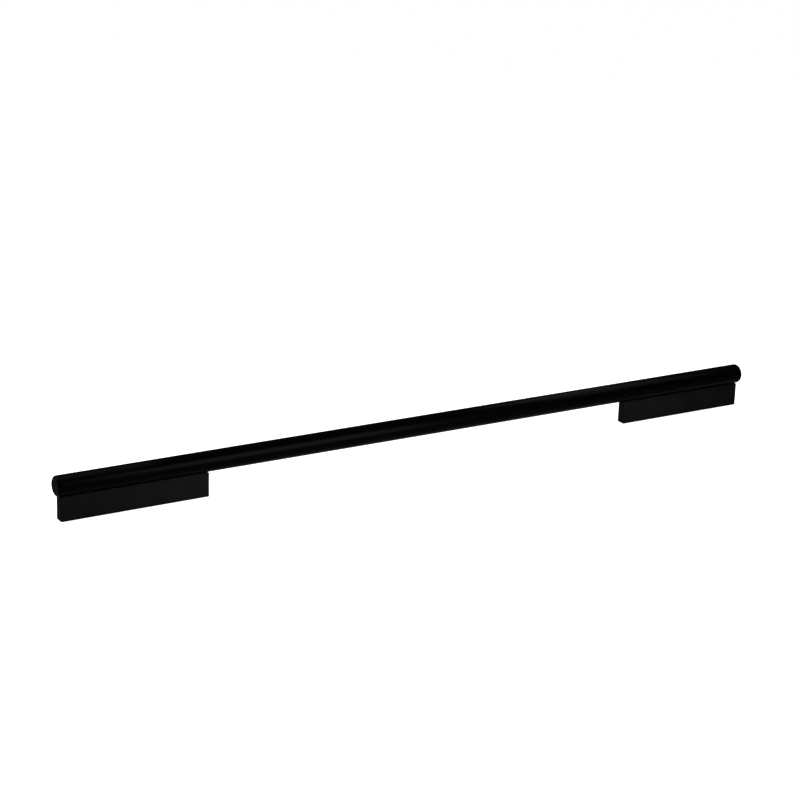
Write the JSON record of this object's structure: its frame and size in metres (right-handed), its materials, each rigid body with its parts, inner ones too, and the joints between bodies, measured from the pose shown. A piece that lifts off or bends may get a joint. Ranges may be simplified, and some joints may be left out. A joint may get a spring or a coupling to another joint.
{
  "type": "door pull handle",
  "caption": "Straight door pull: a round bar on long flat feet that stand on edge under its ends, in satin black, screwed to a door from behind.",
  "frame": {"origin": "on the door's face, midway between the two fixing holes", "axes": "+X along the bar, +Z away from the door, +Y across the bar"},
  "size_m": [0.749, 0.019, 0.0415],
  "materials": {
    "black_coat": "satin black powder coat",
    "screw_steel": "black oxide"
  },
  "bodies": {
    "root": {"grip_bar": "black_coat", "left_foot": "black_coat", "right_foot": "black_coat", "bar_screws": "screw_steel"}
  },
  "joints": []
}
